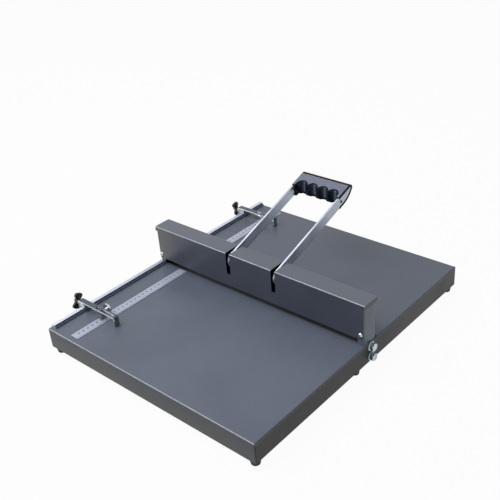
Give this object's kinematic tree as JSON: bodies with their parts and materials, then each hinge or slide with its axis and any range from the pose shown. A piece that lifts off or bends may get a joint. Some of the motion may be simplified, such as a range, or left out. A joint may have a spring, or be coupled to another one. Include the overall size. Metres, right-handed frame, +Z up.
{
  "type": "desktop paper creasing machine",
  "caption": "Hand-operated desktop creaser: a folded steel table with a covered press beam, a lever handle with a finger grip, a side rail with rulers and clamped paper stops.",
  "frame": {"origin": "on the desk, under the middle of the machine's outline", "axes": "+X along the beam to the right, +Y the way the paper is fed (from the user to the rear), +Z up"},
  "size_m": [0.5066, 0.575, 0.2],
  "materials": {
    "dark_paint": "fine satin powder coat",
    "grey_paint": "fine satin powder coat",
    "zinc": "bright zinc plate",
    "steel": "ground steel",
    "spring_steel": "oiled spring wire",
    "bronze": "sintered bronze",
    "aluminium": "clear anodised",
    "black_plastic": "moulded",
    "grey_plastic": "finely grained",
    "rubber": "moulded"
  },
  "bodies": {
    "base": {"base_pan": "dark_paint", "rubber_feet": "rubber", "foot_screws": "zinc", "foot_nuts": "zinc", "left_bracket": "grey_paint", "right_bracket": "grey_paint", "bracket_bolts": "zinc", "bracket_washers": "zinc", "lock_washers": "zinc", "beam_cover": "dark_paint", "cover_screws": "zinc", "anvil_bar": "steel", "left_spring": "spring_steel", "right_spring": "spring_steel", "shaft_bushes": "bronze", "front_rail": "aluminium", "rear_rail": "aluminium", "rail_screws": "zinc", "front_ruler": "aluminium", "rear_ruler": "aluminium"},
    "handle": {"pivot_shaft": "steel", "left_cam": "steel", "right_cam": "steel", "shaft_pins": "spring_steel", "left_arm": "steel", "right_arm": "steel", "grip_shell": "black_plastic", "grip_pad": "grey_plastic", "finger_grip": "black_plastic", "grip_screws": "zinc"},
    "press": {"press_bar": "steel", "crease_blade": "steel", "blade_screws": "spring_steel", "cam_pads": "steel", "pad_screws": "spring_steel"},
    "front_stop": {"front_stop_arm": "dark_paint", "front_clamp_jaw": "aluminium", "front_screw_block": "dark_paint"},
    "front_adjuster": {"front_adjust_screw": "zinc"},
    "front_wing": {"front_wing_screw": "black_plastic"},
    "rear_stop": {"rear_stop_arm": "dark_paint", "rear_clamp_jaw": "aluminium", "rear_screw_block": "dark_paint"},
    "rear_adjuster": {"rear_adjust_screw": "zinc"},
    "rear_wing": {"rear_wing_screw": "black_plastic"}
  },
  "joints": [
    {"name": "handle_swing", "type": "hinge", "parent": "base", "child": "handle", "pos_m": [0.00435, 0.0045, 0.111], "axis": [1, 0, 0], "range_deg": [0, 160]},
    {"name": "press_slide", "type": "slide", "parent": "base", "child": "press", "axis": [0, 0, -1], "range_m": [0, 0.0064], "stiffness_N_per_m": 2000, "springref_m": -0.015, "deforming": ["left_spring", "right_spring"]},
    {"name": "front_stop_slide", "type": "slide", "parent": "base", "child": "front_stop", "axis": [0, 1, 0], "range_m": [-0.06, 0.17]},
    {"name": "front_adjust", "type": "slide", "parent": "front_stop", "child": "front_adjuster", "axis": [0, 1, 0], "range_m": [-0.008, 0.004]},
    {"name": "front_wing_turn", "type": "hinge", "parent": "front_stop", "child": "front_wing", "pos_m": [-0.23965, -0.2095, 0.0618], "axis": [1, 0, 0], "range_deg": [-180, 180]},
    {"name": "rear_stop_slide", "type": "slide", "parent": "base", "child": "rear_stop", "axis": [0, 1, 0], "range_m": [-0.178, 0.05]},
    {"name": "rear_adjust", "type": "slide", "parent": "rear_stop", "child": "rear_adjuster", "axis": [0, 1, 0], "range_m": [-0.008, 0.002]},
    {"name": "rear_wing_turn", "type": "hinge", "parent": "rear_stop", "child": "rear_wing", "pos_m": [-0.23965, 0.2255, 0.0618], "axis": [1, 0, 0], "range_deg": [-180, 180]}
  ],
  "couplings": [
    {"joint": "press_slide", "follows": "handle_swing", "m_per_rad": 0.0022918}
  ]
}
